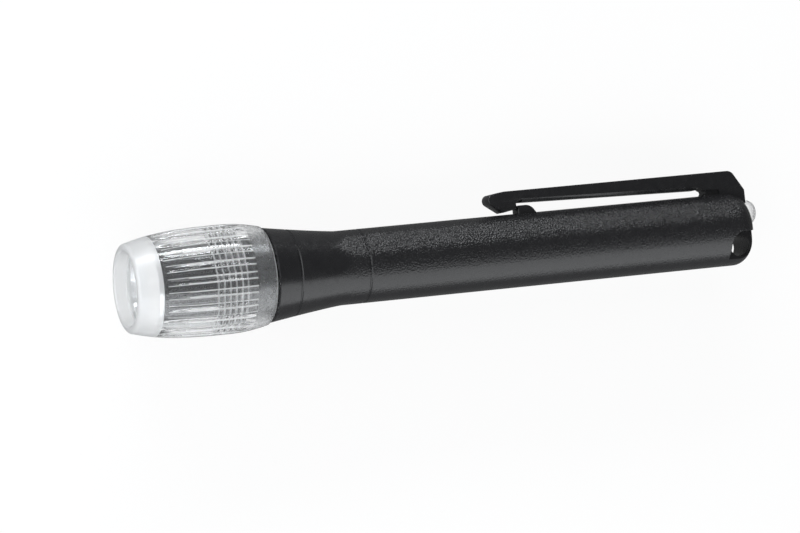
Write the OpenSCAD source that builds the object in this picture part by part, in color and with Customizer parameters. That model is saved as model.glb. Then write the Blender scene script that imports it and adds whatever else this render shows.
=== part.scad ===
// Penlight with a clear twist bezel, a moulded pocket clip and an off-centre tail button.
// Every piece is built upright, with z running from the front rim to the tail, y towards the
// clip and x across, and is then laid on its side.

/* [Cells] */
// Outer diameter of one AAA cell in its jacket
cell_d = 10.5; // [9.8:0.1:10.5]
// Length of one AAA cell over its nub
cell_len = 44.5; // [43.3:0.1:44.5]
// Diameter of the positive nub
nub_d = 3.8; // [3:0.1:3.8]
// Height of the positive nub
nub_len = 1; // [0.8:0.1:1.4]
// Thickness of the cell jacket
jacket_t = 0.15; // [0.1:0.05:0.3]
// Radial room around the cells
cell_room = 0.35; // [0.2:0.05:0.5]

/* [Barrel] */
// Wall of the barrel around the cells
barrel_wall = 1.9; // [1.7:0.1:2.4]
// How far the flared shoulder reaches beyond the bore of the bezel
shoulder_lap = 0.75; // [0.3:0.05:0.9]
// Length over which the flare dies into the barrel
flare_len = 15.2; // [8:0.1:20]
// Steepness of the flare, 1 being a straight cone
flare_power = 1.15; // [1:0.05:2]
// Rounding of the tail edge
tail_round = 3.2; // [1:0.1:3.4]

/* [Neck] */
// Wall of the neck around the lamp holder
neck_wall = 1.45; // [1.3:0.05:1.6]
// Height of the seat above the neck, which is the depth of the thread
thread_h = 0.55; // [0.45:0.05:0.6]
// Length of the threaded zone
thread_len = 5.6; // [5:0.1:6]
// Distance from the neck front to the thread
thread_start = 10.9; // [10:0.1:11.4]
// Radial room between the seat and the bezel
seat_gap = 0.25; // [0.2:0.05:0.3]
// Thickness of the sealing ring
seal_d = 1.24; // [1.1:0.02:1.3]

/* [Bezel] */
// Length of the clear bezel
bezel_len = 28.6; // [28:0.1:30]
// Wall of the bezel at its largest diameter
bezel_wall = 2.2; // [2:0.1:2.7]
// Wall of the bezel at its rear edge
rear_wall = 1.15; // [0.8:0.05:1.3]
// Wall of the open lip at the front rim
lip_wall = 1.25; // [1:0.05:1.5]
// How far the lip reaches inwards of the neck
lip_ledge = 0.45; // [0.35:0.05:0.75]
// Distance from the front rim to the largest diameter
crest_z = 20.5; // [18:0.1:22]
// Rounding of the front rim
rim_round = 0.9; // [0.4:0.1:0.9]
// Depth of the open lip in front of the window
lip_depth = 2.6; // [1.5:0.1:3]
// Thickness of the window
window_t = 1.6; // [1.2:0.1:2]
// Number of flutes
flute_count = 24; // [12:1:28]
// Radius of the flute cutter
flute_r = 0.8; // [0.6:0.05:1.1]
// Flute depth at the largest diameter
flute_depth = 0.38; // [0.2:0.02:0.5]
// Distance from the front rim to the front end of the flutes
flute_front_z = 5; // [4:0.5:8]
// Distance from the front rim to the rear end of the flutes
flute_rear_z = 24.2; // [22:0.1:25]

/* [Lamp] */
// Width of the flat rim around the reflector mouth
mouth_rim = 1.75; // [1.7:0.05:2.3]
// Focal length of the reflector
focus_len = 1.1; // [1:0.05:1.3]
// Wall of the reflector
reflector_t = 0.8; // [0.6:0.1:0.9]
// Thickness of the reflector flange
flange_t = 1.4; // [1:0.1:1.6]
// Radius of the lamp hole
lamp_hole_r = 1.8; // [1.6:0.1:2]
// Radius of the emitter dome
dome_r = 1.3; // [1:0.1:1.4]
// Side of the emitter package
package_w = 3.45; // [3:0.05:3.5]
// Thickness of the emitter package
package_t = 0.5; // [0.4:0.1:0.8]
// How far the lamp holder is larger than the bore of the cells, which stops it there
holder_step = 0.7; // [0.6:0.05:0.8]
// Wall of the lamp holder around its board
holder_wall = 1; // [0.8:0.05:1.1]
// Length of the lamp holder behind its board
holder_len = 10.7; // [9.5:0.1:12]
// Thickness of the lamp board
board_t = 1; // [0.8:0.1:1.2]
// Height of the inductor on the lamp board
coil_h = 2.6; // [2:0.1:4]
// Width of the key that stops the lamp holder turning
key_w = 2; // [1.5:0.1:2.5]

/* [Clip] */
// Height of the clip's outer face above the barrel
clip_rise = 4.7; // [4.4:0.1:5.5]
// Width of the clip
clip_w = 4; // [3.6:0.1:5]
// Thickness of the clip arm at its root
clip_root_t = 3.5; // [3.1:0.1:3.7]
// Thickness of the clip arm behind the hook
clip_tip_t = 2.45; // [2:0.05:2.6]
// Length of the clip from its nose to its bending line
clip_len = 49.9; // [47:0.1:52]
// Length of the hook under the nose
hook_len = 6; // [5.4:0.1:7]
// Gap between the hook and the barrel
hook_gap = 0.4; // [0.3:0.05:0.6]
// Rounding of the nose
nose_r = 1.2; // [0.6:0.1:1.4]
// Edge chamfer under the arm
arm_chamfer = 0.6; // [0.2:0.1:0.8]
// Height of the retention bump on the barrel
bump_h = 1.6; // [1:0.1:1.9]
// Length of the retention bump
bump_len = 3.9; // [3.4:0.1:6]
// Width of the retention bump
bump_w = 3.4; // [2.8:0.1:4]

/* [Tail] */
// Distance from the bending line of the clip to the tail face
root_len = 7; // [6.8:0.1:8]
// Length of the shallow side recess that runs on from the gap under the clip
recess_len = 3.6; // [2.5:0.1:4.5]
// Depth of the shallow side recess
recess_depth = 0.4; // [0.2:0.1:0.8]
// Diameter of the button
button_d = 5.4; // [5:0.1:5.6]
// Wall between the button and the side of the barrel
button_wall = 1.6; // [1.5:0.1:1.8]
// Height of the button above the tail face
button_out = 2.8; // [2.2:0.1:3.2]
// Press of the button
button_travel = 1.15; // [0.8:0.05:1.15]
// Diameter of the lanyard hole
lanyard_d = 4.6; // [3:0.1:4.8]
// Wall between the lanyard hole and the side of the barrel
lanyard_wall = 1.6; // [1.5:0.1:2]
// Distance of the lanyard hole from the tail face
lanyard_back = 2.9; // [2.8:0.1:3.4]
// Thickness of the lug left between the side pockets
lug_t = 8.2; // [7.6:0.1:9]
// Width of the border between the lanyard hole and its side pocket
pocket_rim = 0.6; // [0.4:0.1:0.7]

/* [Contacts] */
// Thickness of the sheet brass
sheet_t = 0.3; // [0.25:0.05:0.35]
// Width of the brass strip along the barrel
strip_w = 3; // [2:0.1:3.4]
// Wire of the cell spring
cell_wire = 0.6; // [0.5:0.05:0.7]
// Length of the cell spring as fitted
cell_spring_len = 6.3; // [5.6:0.1:7]
// Radius of the cell spring where it meets the cell
cell_spring_tip_r = 2.4; // [2:0.1:2.8]
// Turns of the cell spring
cell_turns = 3.5; // [3:0.5:4]
// Wire of the button's return spring
return_wire = 0.35; // [0.3:0.05:0.4]
// Radius of the button's return spring
return_r = 2.2; // [2.1:0.1:2.2]
// Turns of the return spring
return_turns = 3; // [2:0.5:3.5]

/* [Hidden] */
// Fits
face_gap = 0.05;
slide_gap = 0.1;
part_gap = 0.2;
thin_gap = 0.02;
wire_room = 0.4;
bezel_gap = 0.4;
bump_gap = 0.4;
press_room = 0.5;

// Walls and small edges
small_edge = 0.3;
seal_inset = 0.9;
bore_edge = 0.15;
collar_t = 1.45;
mouth_taper = 0.9;
holder_lip = 1.2;
holder_floor = 2.2;
board_ledge = 0.6;
contact_t = 0.6;
dome_lead = 0.45;
foot_len = 1.9;
foot_sink = 0.15;
base_step = 1;
base_h = 0.2;
jacket_edge = 0.4;
housing_wall = 0.8;
floor_t = 2.6;
well_floor = 0.8;
spring_margin = 0.5;
guide_step = 0.5;
guide_t = 1.6;
plunger_flange_t = 1.4;
web_t = 2;
lug_wall = 0.8;
socket_depth = 2.5;
button_flat_r = 1;
dome_share = 0.8;
strip_lap = 1;
key_h = 0.6;
key_len = 4;

// Outline of the clip and its root
hook_toe = 3;
hook_rise = 0.5;
nose_run = 3.6;
nose_drop = 0.35;
fin_back = 3.6;
fin_round = 1.8;
fin_slope = 40;
fin_heel = 0.5;
bump_tail = 0.6;
bump_ramp = 1.4;

// Shape of the bezel in front of and behind its largest diameter
front_power = 3;
rear_power = 2;

// Number of facets and of points on curves
fine = 96;
small = 48;
flute_facets = 32;
seal_facets = 24;
curve_steps = 10;
bowl_steps = 12;
overlap = 1;

// Radii, from the cells outwards
cell_r = cell_d / 2;
cell_bore_r = cell_r + cell_room;
barrel_r = cell_bore_r + barrel_wall;
holder_r = cell_bore_r + holder_step;
holder_bore_r = holder_r + part_gap;
board_r = holder_r - holder_wall - slide_gap;
chamber_r = board_r - board_ledge;
neck_r = holder_bore_r + neck_wall;
seat_r = neck_r + thread_h;
bezel_bore_r = seat_r + seat_gap;
groove_r = bezel_bore_r - face_gap - seal_d;
shoulder_r = bezel_bore_r + shoulder_lap;
bezel_r = bezel_bore_r + bezel_wall;
rear_r = bezel_bore_r + rear_wall;
lip_bore_r = neck_r - lip_ledge;
rim_r = lip_bore_r + lip_wall;
flange_r = neck_r - part_gap;
mouth_r = flange_r - mouth_rim;
skirt_r = mouth_r - mouth_taper;
rivet_r = 0.8;
rivet_head_r = 1.2;
coil_r = (chamber_r - rivet_r) / 2 - wire_room;
housing_r = cell_bore_r - slide_gap;
housing_inner_r = housing_r - housing_wall;
guide_bore_r = cell_bore_r - guide_step;
well_in_r = return_r - return_wire / 2 - wire_room;
well_out_r = return_r + return_wire / 2 + wire_room;
contact_in_r = well_out_r + part_gap;
strip_r = cell_bore_r + face_gap;
leg_w = strip_w - 2 * part_gap;
pin_r = 0.55;
stem_r = 1.6;
post_r = 1.25;
button_r = button_d / 2;
button_off = barrel_r - button_r - button_wall;
lanyard_r = lanyard_d / 2;
lanyard_off = barrel_r - lanyard_r - lanyard_wall;
pocket_r = lanyard_r + pocket_rim;

// Stations along the pen, from the front rim
window_back_z = lip_depth + window_t;
flange_z = window_back_z + face_gap;
neck_z = flange_z + flange_t + face_gap;
thread_z = neck_z + thread_start;
seat_z = thread_z + thread_len;
seal_z = seat_z + seal_inset;
shoulder_z = bezel_len + bezel_gap;
focus_z = flange_z + mouth_r * mouth_r / (4 * focus_len) - focus_len;
package_z = focus_z + dome_r - dome_lead;
board_z = package_z + package_t;
board_back_z = board_z + board_t;
holder_z = board_z - holder_lip;
holder_back_z = board_back_z + holder_len;
nub_z = holder_back_z + contact_t;
stop_z = holder_back_z + 2 * sheet_t + face_gap;
rear_nub_z = nub_z + cell_len;
cell_end_z = rear_nub_z + cell_len;
terminal_z = cell_end_z + cell_spring_len;
housing_z = terminal_z + sheet_t;
floor_z = housing_z + floor_t;
strip_end_z = floor_z + strip_lap;
bridge_z = floor_z + sheet_t + button_travel + face_gap;
plunger_z = bridge_z + sheet_t;
plunger_flange_z = plunger_z + guide_t;
housing_back_z = plunger_flange_z - button_travel - part_gap;
wall_z = plunger_flange_z + plunger_flange_t + part_gap;
counterbore_z = wall_z + web_t;
lanyard_z = wall_z + lug_wall + pocket_r;
tail_z = lanyard_z + lanyard_back;
button_z = counterbore_z + button_travel + press_room;
pen_len = tail_z + button_out;

// Clip
clip_top = barrel_r + clip_rise;
hinge_z = tail_z - root_len;
hinge_y = clip_top - clip_root_t / 2;
root_z = hinge_z - clip_root_t / 2 - part_gap;
nose_z = hinge_z - clip_len;
hook_end_z = nose_z + hook_len;
slot_r = (clip_rise - clip_root_t) / 2;
slot_y = barrel_r + slot_r;

// Place of the pen axis in the finished part
axis_y = (bezel_r - clip_top) / 2;
axis_height = bezel_r;

// Points of a round stretch in an outline
function arc(cx, cy, r, from, to, steps) = [for (i = [0:steps])
    let (a = from + (to - from) * i / steps) [cx + r * cos(a), cy + r * sin(a)]];

// Outer radius of the bezel at a distance from its front rim
function bezel_outer(z) = z < crest_z
    ? bezel_r - (bezel_r - rim_r) * pow((crest_z - z) / crest_z, front_power)
    : bezel_r - (bezel_r - rear_r) * pow((z - crest_z) / (bezel_len - crest_z), rear_power);

// Outer radius of the flare, from 0 at the shoulder to 1 at its end
function flare(u) = barrel_r + (shoulder_r - barrel_r) * pow(1 - u, flare_power);

// Point of the reflector bowl at a radius, pushed out by a wall
function bowl(r, wall) =
    let (slope = r / (2 * focus_len), norm = sqrt(1 + slope * slope))
    [r + wall * slope / norm, focus_z + focus_len - r * r / (4 * focus_len) + wall / norm];

// Centre of a wound wire at a turn angle
function coil_point(a, r_from, r_to, z_from, z_to, turns) =
    let (u = a / (360 * turns), r = r_from + (r_to - r_from) * u)
    [r * cos(a), r * sin(a), z_from + (z_to - z_from) * u];

// Lays an upright piece on its side in the finished frame
module laid() {
    translate([-pen_len / 2, axis_y, axis_height]) rotate([0, 90, 0]) children();
}

// Turned solid from points of radius and height
module turned(points, facets = fine) {
    rotate_extrude($fn = facets) polygon(points);
}

// Round bar between two heights
module bar(r, from, to, facets = fine) {
    translate([0, 0, from]) cylinder(r = r, h = to - from, $fn = facets);
}

// Round bar across the pen at a height and a distance from the axis
module cross_bar(r, y, z, width, facets = small) {
    translate([0, y, z]) rotate([0, 90, 0]) cylinder(r = r, h = width, center = true, $fn = facets);
}

// Ring between two heights
module ring(r_in, r_out, from, to, facets = fine) {
    difference() {
        bar(r_out, from, to, facets);
        bar(r_in, from - overlap, to + overlap, facets);
    }
}

// Side outline in z and y, given thickness across the pen
module side_plate(points, width) {
    rotate([0, -90, 0]) linear_extrude(width, center = true) polygon(points);
}

// Wound wire with square-cut ends
module wound(wire_r, r_from, r_to, z_from, z_to, turns) {
    sides = 6;
    rings_per_turn = 8;
    rings = turns * rings_per_turn;
    rise = (z_to - z_from) / (turns * PI * (r_from + r_to));
    points = [for (i = [0:rings], k = [0:sides - 1])
        let (
            a = i * 360 / rings_per_turn,
            s = k * 360 / sides,
            centre = coil_point(a, r_from, r_to, z_from, z_to, turns),
            outward = [cos(a), sin(a), 0],
            upward = [rise * sin(a), -rise * cos(a), 1] / sqrt(1 + rise * rise)
        )
        centre + wire_r * (cos(s) * outward + sin(s) * upward)];
    walls = [for (i = [0:rings - 1], k = [0:sides - 1], half = [0, 1])
        let (near = i * sides + k, next = i * sides + (k + 1) % sides)
        half == 0 ? [near, next, next + sides] : [near, next + sides, near + sides]];
    first_cap = [for (k = [2:sides - 1]) [0, k, k - 1]];
    last_cap = [for (k = [2:sides - 1]) [rings * sides, rings * sides + k - 1, rings * sides + k]];
    polyhedron(points, concat(first_cap, walls, last_cap));
}

// Smallest gap between one turn of a wound wire and the next
module coil_gap(name, wire, r_from, r_to, z_from, z_to, turns) {
    gaps = [for (a = [0:15:360 * (turns - 1)], b = [-30:5:30])
        norm(coil_point(a + 360 + b, r_from, r_to, z_from, z_to, turns)
            - coil_point(a, r_from, r_to, z_from, z_to, turns)) - wire];
    echo(name, least_gap = min(gaps));
}

// Barrel

module barrel_body() {
    groove_end_z = seal_z + seal_d + part_gap;
    flare_points = [for (i = [0:curve_steps])
        [flare(i / curve_steps), shoulder_z + small_edge + flare_len * i / curve_steps]];
    turned(concat(
        [[0, neck_z], [neck_r, neck_z], [neck_r, seat_z], [seat_r, seat_z + small_edge], [seat_r, seal_z],
            [groove_r, seal_z], [groove_r, groove_end_z], [seat_r, groove_end_z],
            [seat_r, shoulder_z], [shoulder_r - small_edge, shoulder_z]],
        flare_points,
        arc(barrel_r - tail_round, tail_z - tail_round, tail_round, 0, 90, curve_steps),
        [[0, tail_z]]));
}

// Fin that carries the clip, with a round seat for its root and the rounded end of the gap
module clip_root() {
    through = clip_w + 2 * overlap;
    seat_y = hinge_y - clip_root_t / 2 - slide_gap;
    outline = concat(
        [[root_z, 0], [root_z, clip_top]],
        arc(tail_z - fin_back, clip_top - fin_round, fin_round, 90, fin_slope, curve_steps / 2),
        [[tail_z, barrel_r + fin_heel], [tail_z, 0]]);
    difference() {
        side_plate(outline, clip_w);
        cross_bar(clip_root_t / 2 + slide_gap, hinge_y, hinge_z, through);
        cross_bar(slot_r, slot_y, root_z, through);
        translate([-through / 2, seat_y, root_z - overlap])
            cube([through, clip_root_t + 2 * overlap, hinge_z - root_z + overlap]);
        for (side = [0, 1]) mirror([side, 0, 0])
            translate([clip_w / 2 - recess_depth, barrel_r, root_z])
                cube([recess_depth + overlap, 2 * slot_r - part_gap, recess_len]);
    }
}

// Bump on the barrel that closes the gap behind the hook
module bump() {
    front_z = hook_end_z + bump_gap;
    back_z = front_z + bump_len;
    top_y = barrel_r + bump_h;
    ramp_r = bump_h * bump_ramp;
    side_plate(concat(
        [[front_z, barrel_r - overlap], [front_z, top_y - small_edge], [front_z + small_edge, top_y]],
        arc(back_z - ramp_r, top_y - ramp_r, ramp_r, 90, 30, curve_steps / 2),
        [[back_z + bump_tail, barrel_r - small_edge], [back_z + bump_tail, barrel_r - overlap]]), bump_w);
}

// Flats on both sides of the lanyard hole, each with an arched edge
module lug_pocket() {
    deep = barrel_r;
    for (side = [0, 1]) mirror([side, 0, 0]) translate([lug_t / 2, -lanyard_off, lanyard_z]) {
        rotate([0, 90, 0]) cylinder(r = pocket_r, h = deep, $fn = small);
        translate([0, -pocket_r, 0]) cube([deep, 2 * pocket_r, lanyard_back + overlap]);
        translate([0, -barrel_r, -pocket_r]) cube([deep, barrel_r, lanyard_back + pocket_r + overlap]);
    }
}

module barrel() color([0.1, 0.1, 0.11]) laid() difference() {
    strip_slot_w = strip_w + 2 * slide_gap;
    key_slot_w = key_w + 2 * slide_gap;
    union() {
        barrel_body();
        clip_root();
        bump();
    }
    bar(holder_bore_r, neck_z - overlap, stop_z);
    bar(cell_bore_r, stop_z - overlap, housing_back_z);
    bar(guide_bore_r, housing_back_z - overlap, wall_z);
    translate([0, button_off, 0]) {
        bar(stem_r + slide_gap, housing_back_z, counterbore_z + overlap, small);
        bar(button_r + slide_gap, counterbore_z, tail_z + overlap, small);
    }
    translate([-strip_slot_w / 2, -strip_r - sheet_t - slide_gap, stop_z - overlap])
        cube([strip_slot_w, strip_r, strip_end_z + part_gap - stop_z + overlap]);
    translate([-key_slot_w / 2, 0, neck_z - overlap])
        cube([key_slot_w, holder_r + key_h + slide_gap, holder_z + key_len + slide_gap - neck_z + overlap]);
    lug_pocket();
    cross_bar(lanyard_r, -lanyard_off, lanyard_z, 4 * barrel_r, fine);
}

// Clip arm with its hook, ending in a round root at the bending line

module pocket_clip() color([0.1, 0.1, 0.11]) laid() difference() {
    tip_y = clip_top - clip_tip_t;
    root_y = clip_top - clip_root_t;
    hook_y = barrel_r + hook_gap;
    arm_run = hinge_z - hook_end_z;
    slope = atan((tip_y - root_y) / arm_run);
    cutter = arm_chamfer * sqrt(2);
    union() {
        side_plate(concat(
            [[hinge_z, root_y], [hook_end_z, tip_y], [hook_end_z, hook_y + hook_rise],
                [nose_z + hook_toe, hook_y]],
            arc(nose_z + nose_r, clip_top - nose_r - nose_drop, nose_r, 230, 110, curve_steps),
            [[nose_z + nose_run, clip_top], [hinge_z, clip_top]]), clip_w);
        cross_bar(clip_root_t / 2, hinge_y, hinge_z, clip_w);
    }
    for (side = [-1, 1]) translate([side * clip_w / 2, root_y, hinge_z]) rotate([slope, 0, 0])
        translate([0, 0, -arm_run]) rotate([0, 0, 45]) cube([cutter, cutter, 2 * arm_run], center = true);
}

// Clear bezel with its window and flutes

module flute_cutters() {
    front_r = bezel_outer(flute_front_z);
    tilt = atan((bezel_r - flute_depth - front_r) / (crest_z - flute_front_z));
    run = (flute_rear_z - flute_r - flute_front_z) / cos(tilt);
    for (i = [0:flute_count - 1]) rotate([0, 0, i * 360 / flute_count])
        translate([front_r + flute_r, 0, flute_front_z]) rotate([0, tilt, 0]) {
            cylinder(r = flute_r, h = run, $fn = flute_facets);
            translate([0, 0, run]) sphere(r = flute_r, $fn = flute_facets);
        }
}

module lens_bezel() color([0.85, 0.9, 0.93, 0.4]) laid() difference() {
    stations = 12;
    outer_len = bezel_len - small_edge - rim_round;
    outer = [for (i = [0:stations])
        let (z = rim_round + outer_len * i / stations) [bezel_outer(z), z]];
    turned(concat(
        arc(bezel_outer(rim_round) - rim_round, rim_round, rim_round, -90, -15, curve_steps / 2),
        outer,
        [[rear_r - small_edge, bezel_len], [bezel_bore_r + bore_edge, bezel_len],
            [bezel_bore_r, bezel_len - bore_edge], [bezel_bore_r, window_back_z], [0, window_back_z],
            [0, lip_depth], [lip_bore_r, lip_depth], [lip_bore_r, 0]]));
    flute_cutters();
}

module seal_ring() color([0.12, 0.12, 0.12]) laid()
    rotate_extrude($fn = fine) translate([groove_r + seal_d / 2 + thin_gap, seal_z + seal_d / 2 + part_gap / 2])
        circle(d = seal_d, $fn = seal_facets);

// Lamp module

module reflector() color([0.85, 0.86, 0.88]) laid() {
    collar_bore_r = package_w / sqrt(2) + slide_gap;
    collar_r = collar_bore_r + collar_t;
    collar_z = package_z - slide_gap;
    collar_end_z = board_z - face_gap;
    join_r = collar_r - reflector_t;
    inner = [for (i = [0:bowl_steps]) bowl(mouth_r + (lamp_hole_r - mouth_r) * i / bowl_steps, 0)];
    outer = [for (i = [0:bowl_steps]) bowl(join_r + (skirt_r - join_r) * i / bowl_steps, reflector_t)];
    turned(concat(
        inner,
        [[lamp_hole_r, collar_z], [collar_bore_r, collar_z], [collar_bore_r, collar_end_z],
            [collar_r, collar_end_z], [collar_r, outer[0][1]]],
        outer,
        [[outer[bowl_steps][0], flange_z + flange_t], [flange_r, flange_z + flange_t], [flange_r, flange_z]]));
}

module led_emitter() color([0.95, 0.9, 0.6]) laid() {
    translate([-package_w / 2, -package_w / 2, package_z]) cube([package_w, package_w, package_t]);
    difference() {
        translate([0, 0, package_z]) sphere(r = dome_r, $fn = small);
        bar(dome_r + overlap, package_z + package_t / 2, package_z + dome_r + overlap);
    }
}

module lamp_board() color([0.1, 0.35, 0.2]) laid()
    bar(board_r, board_z, board_back_z);

module boost_coil() color([0.25, 0.25, 0.27]) laid()
    translate([(chamber_r + rivet_r) / 2, 0, board_back_z]) {
        waist_r = coil_r * 0.7;
        rim_h = coil_h / 4;
        bar(coil_r, 0, rim_h, small);
        bar(waist_r, 0, coil_h, small);
        bar(coil_r, coil_h - rim_h, coil_h, small);
    }

module lamp_holder() color([0.16, 0.16, 0.17]) laid() difference() {
    leg_slot_w = leg_w + 2 * slide_gap;
    leg_slot_z = board_back_z - face_gap;
    union() {
        bar(holder_r, holder_z, holder_back_z);
        translate([-key_w / 2, holder_r - overlap, holder_z]) cube([key_w, key_h + overlap, key_len]);
    }
    bar(board_r + slide_gap, holder_z - overlap, board_back_z);
    bar(chamber_r, board_z, holder_back_z - holder_floor);
    bar(rivet_r + slide_gap, holder_z, holder_back_z + overlap, small);
    translate([-leg_slot_w / 2, -holder_r - overlap, leg_slot_z])
        cube([leg_slot_w, overlap + holder_wall, holder_back_z]);
    translate([-leg_slot_w / 2, -holder_r, leg_slot_z])
        cube([leg_slot_w, foot_sink + foot_len + part_gap, sheet_t + 2 * slide_gap]);
}

module centre_contact() color([0.8, 0.65, 0.3]) laid() {
    bar(rivet_r, board_back_z, nub_z - contact_t / 2, small);
    bar(nub_d / 2 + slide_gap, holder_back_z, nub_z, small);
}

module side_contact() color([0.8, 0.65, 0.3]) laid() {
    ring(chamber_r, holder_r - slide_gap, holder_back_z, holder_back_z + sheet_t);
    translate([-leg_w / 2, foot_sink - holder_r, board_back_z]) {
        cube([leg_w, sheet_t, holder_len + sheet_t]);
        cube([leg_w, foot_len, sheet_t]);
    }
}

// Cells and contacts

module contact_strip() color([0.8, 0.65, 0.3]) laid() {
    tab_y = holder_bore_r - part_gap;
    translate([-strip_w / 2, -strip_r - sheet_t, stop_z - sheet_t])
        cube([strip_w, sheet_t, strip_end_z - stop_z + sheet_t]);
    translate([-strip_w / 2, -tab_y, stop_z - sheet_t]) cube([strip_w, tab_y - strip_r, sheet_t]);
}

module cell_at(z) {
    can_r = cell_r - jacket_t - thin_gap;
    bar(nub_d / 2, z, z + 2 * nub_len, small);
    bar(can_r, z + nub_len, z + cell_len - base_h);
    bar(can_r - base_step, z + cell_len - 2 * base_h, z + cell_len);
}

module jacket_at(z) {
    ring(cell_r - jacket_t, cell_r, z + nub_len + jacket_edge, z + cell_len - jacket_edge);
}

module front_cell() color([0.75, 0.76, 0.78]) laid() cell_at(nub_z);

module front_jacket() color([0.2, 0.35, 0.5]) laid() jacket_at(nub_z);

module rear_cell() color([0.75, 0.76, 0.78]) laid() cell_at(rear_nub_z);

module rear_jacket() color([0.2, 0.35, 0.5]) laid() jacket_at(rear_nub_z);

module cell_spring() color([0.8, 0.8, 0.82]) laid() {
    wire_r = cell_wire / 2;
    base_r = housing_inner_r - spring_margin;
    first_z = cell_end_z + wire_r + thin_gap;
    last_z = terminal_z - wire_r - thin_gap;
    wound(wire_r, cell_spring_tip_r, base_r, first_z, last_z, cell_turns);
    coil_gap("cell_spring", cell_wire, cell_spring_tip_r, base_r, first_z, last_z, cell_turns);
}

// Tail switch

module tail_terminal() color([0.8, 0.65, 0.3]) laid() {
    bar(housing_inner_r, terminal_z, housing_z);
    bar(rivet_r, terminal_z, floor_z + sheet_t, small);
    bar(rivet_head_r, floor_z, floor_z + sheet_t, small);
}

module switch_housing() color([0.2, 0.2, 0.21]) laid() difference() {
    tab_slot_w = leg_w + 2 * slide_gap;
    bar(housing_r, housing_z, housing_back_z);
    bar(housing_inner_r, floor_z, housing_back_z + overlap);
    bar(rivet_r + thin_gap, housing_z - overlap, floor_z + overlap, small);
    ring(well_in_r, well_out_r, housing_z + well_floor, floor_z + overlap, small);
    translate([-tab_slot_w / 2, -housing_r - overlap, floor_z])
        cube([tab_slot_w, housing_r, housing_back_z]);
}

module contact_ring() color([0.8, 0.65, 0.3]) laid() {
    ring(contact_in_r, housing_inner_r - slide_gap, floor_z, floor_z + sheet_t);
    translate([-leg_w / 2, thin_gap - strip_r, floor_z])
        cube([leg_w, strip_r - contact_in_r - part_gap, sheet_t]);
}

module return_spring() color([0.8, 0.8, 0.82]) laid() {
    wire_r = return_wire / 2;
    first_z = housing_z + well_floor + wire_r + thin_gap;
    last_z = bridge_z - wire_r - thin_gap;
    wound(wire_r, return_r, return_r, first_z, last_z, return_turns);
    coil_gap("return_spring", return_wire, return_r, return_r, first_z, last_z, return_turns);
}

module contact_bridge() color([0.8, 0.65, 0.3]) laid()
    ring(pin_r + face_gap, housing_inner_r - 2 * part_gap, bridge_z, plunger_z);

module switch_plunger() color([0.85, 0.85, 0.83]) laid() {
    bar(pin_r, bridge_z, plunger_z + overlap, small);
    bar(housing_inner_r - part_gap, plunger_z, plunger_flange_z);
    bar(guide_bore_r - part_gap, plunger_flange_z, plunger_flange_z + plunger_flange_t);
    translate([0, button_off, 0]) {
        bar(stem_r, plunger_flange_z, button_z - thin_gap, small);
        bar(post_r, plunger_flange_z, button_z + socket_depth - slide_gap, small);
    }
}

module tail_button() color([0.85, 0.87, 0.88]) laid() translate([0, button_off, 0]) {
    dome_h = button_out * dome_share;
    dome_z = pen_len - dome_h;
    dome = [for (i = [0:curve_steps])
        let (a = 90 * i / curve_steps)
        [button_flat_r + (button_r - button_flat_r) * cos(a), dome_z + dome_h * sin(a)]];
    difference() {
        turned(concat([[0, button_z], [button_r, button_z]], dome, [[0, pen_len]]), small);
        bar(post_r + thin_gap, button_z - overlap, button_z + socket_depth, small);
    }
}

barrel();
pocket_clip();
lens_bezel();
seal_ring();
reflector();
led_emitter();
lamp_board();
boost_coil();
lamp_holder();
centre_contact();
side_contact();
contact_strip();
front_cell();
front_jacket();
rear_cell();
rear_jacket();
cell_spring();
tail_terminal();
switch_housing();
contact_ring();
return_spring();
contact_bridge();
switch_plunger();
tail_button();
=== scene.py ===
import math

import bmesh
import bpy
from mathutils import Matrix, Vector

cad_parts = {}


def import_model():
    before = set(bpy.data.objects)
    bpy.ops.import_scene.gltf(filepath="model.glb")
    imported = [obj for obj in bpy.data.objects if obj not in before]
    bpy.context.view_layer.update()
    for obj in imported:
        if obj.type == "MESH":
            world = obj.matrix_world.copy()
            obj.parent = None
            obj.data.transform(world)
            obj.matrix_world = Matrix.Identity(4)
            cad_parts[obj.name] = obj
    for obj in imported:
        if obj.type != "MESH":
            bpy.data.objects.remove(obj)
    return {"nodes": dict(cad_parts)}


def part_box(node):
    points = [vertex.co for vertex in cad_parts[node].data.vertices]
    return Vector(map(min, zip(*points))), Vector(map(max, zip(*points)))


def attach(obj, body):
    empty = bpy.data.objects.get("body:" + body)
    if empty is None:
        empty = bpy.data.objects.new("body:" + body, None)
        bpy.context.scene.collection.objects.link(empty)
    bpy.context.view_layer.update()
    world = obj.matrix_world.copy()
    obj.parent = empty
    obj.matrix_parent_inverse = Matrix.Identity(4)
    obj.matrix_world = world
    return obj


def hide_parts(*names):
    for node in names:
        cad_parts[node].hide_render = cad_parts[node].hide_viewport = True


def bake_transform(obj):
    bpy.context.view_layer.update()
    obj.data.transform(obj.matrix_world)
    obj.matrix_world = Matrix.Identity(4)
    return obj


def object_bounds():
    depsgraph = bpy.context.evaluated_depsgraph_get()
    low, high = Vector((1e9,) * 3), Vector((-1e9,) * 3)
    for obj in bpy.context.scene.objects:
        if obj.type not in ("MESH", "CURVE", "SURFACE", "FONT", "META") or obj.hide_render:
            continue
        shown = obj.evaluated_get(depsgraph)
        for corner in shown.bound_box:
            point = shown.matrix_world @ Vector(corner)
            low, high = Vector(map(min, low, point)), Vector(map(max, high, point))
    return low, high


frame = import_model()
cad_low, cad_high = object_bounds()

# Units: the pen is written in millimetres from its front rim, the scene is in metres
MM = 0.001

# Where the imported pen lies
bezel_low, bezel_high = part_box("lens_bezel")
FRONT_X = bezel_low.x
AXIS_Y = (bezel_low.y + bezel_high.y) / 2
AXIS_Z = (bezel_low.z + bezel_high.z) / 2
PEN_LEN = (cad_high.x - cad_low.x) / MM

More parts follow.
